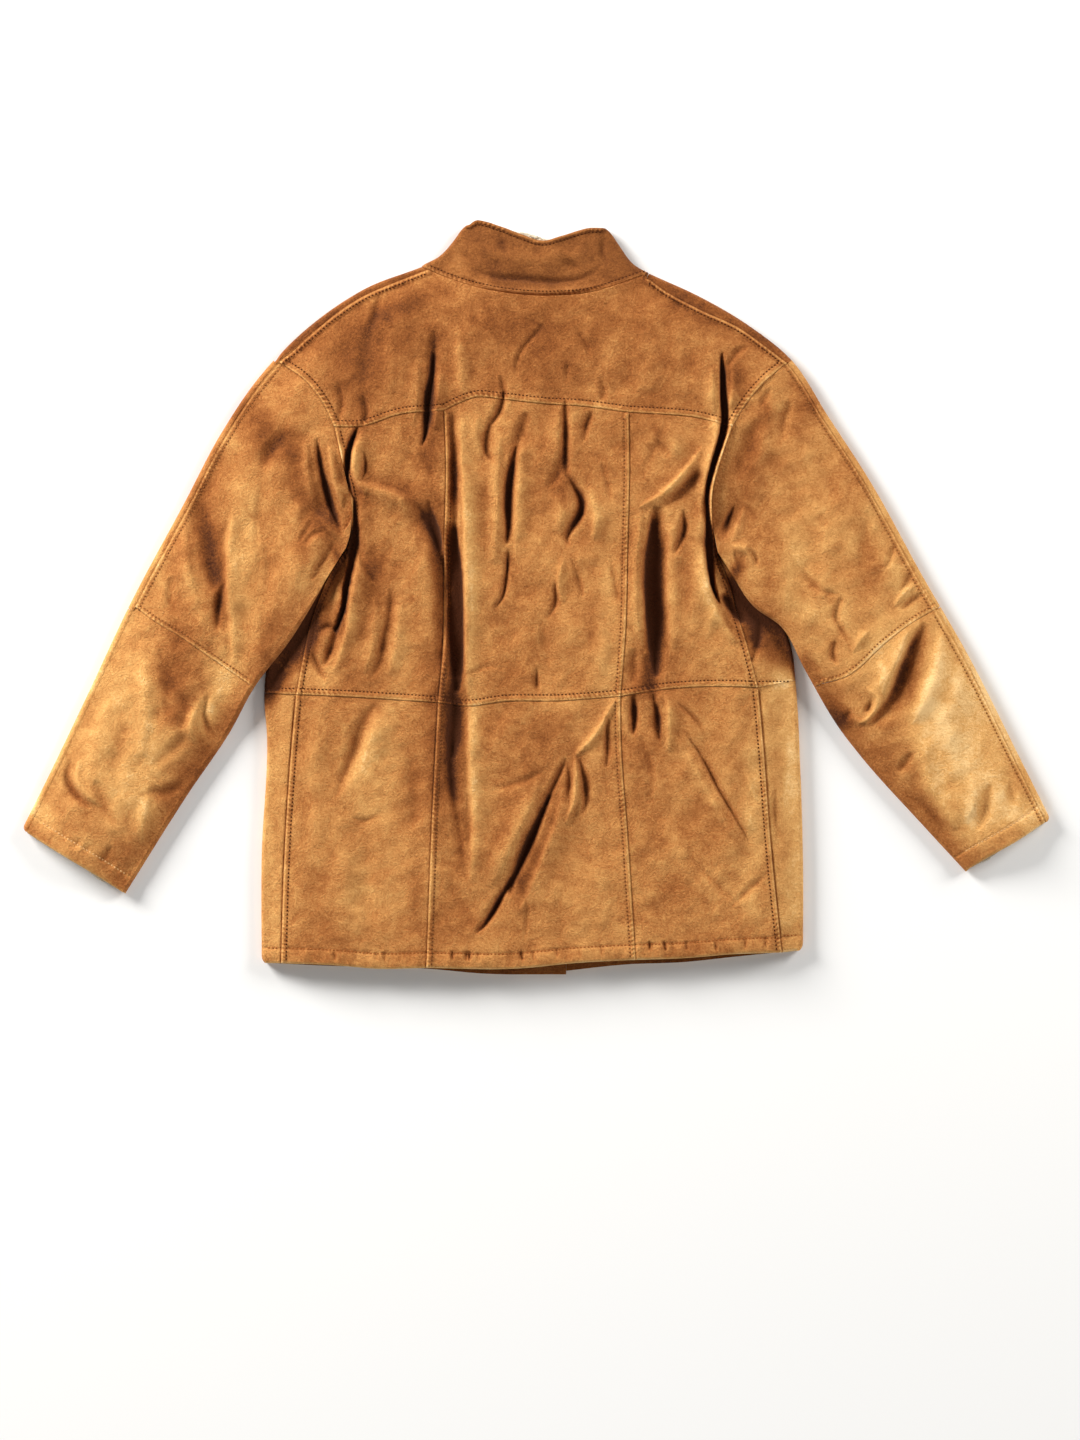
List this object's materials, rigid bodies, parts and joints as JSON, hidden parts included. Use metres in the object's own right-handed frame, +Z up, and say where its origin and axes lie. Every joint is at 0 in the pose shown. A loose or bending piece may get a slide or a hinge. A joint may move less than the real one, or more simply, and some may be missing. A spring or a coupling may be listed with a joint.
{
  "type": "faux shearling coat",
  "caption": "Hip-length suede-faced coat with a fleece back and a standing collar, laid flat with its back up, sleeves slanting down, with soft creases.",
  "frame": {"origin": "Under the middle of the coat's outline, on the surface it lies on", "axes": "+X across the coat to the wearer's right, +Y from the hem to the collar, +Z up, away from the surface, out of the coat's back"},
  "size_m": [1.1525, 0.8458, 0.0293],
  "materials": {
    "suede": "matte brushed nap",
    "suede_collar": "matte brushed nap, a shade darker",
    "fleece": "matte curly pile"
  },
  "bodies": {
    "root": {"yoke": "suede", "back_upper_left": "suede", "back_upper_centre": "suede", "back_upper_right": "suede", "back_lower_left": "suede", "back_lower_centre": "suede", "back_lower_right": "suede", "front_upper_left": "suede", "front_upper_right": "suede", "front_lower_left": "suede", "front_lower_right": "suede", "sleeve_back_upper_left": "suede", "sleeve_back_lower_left": "suede", "sleeve_front_upper_left": "suede", "sleeve_front_lower_left": "suede", "sleeve_back_upper_right": "suede", "sleeve_back_lower_right": "suede", "sleeve_front_upper_right": "suede", "sleeve_front_lower_right": "suede", "collar": "suede_collar", "collar_lining": "fleece"}
  },
  "joints": []
}
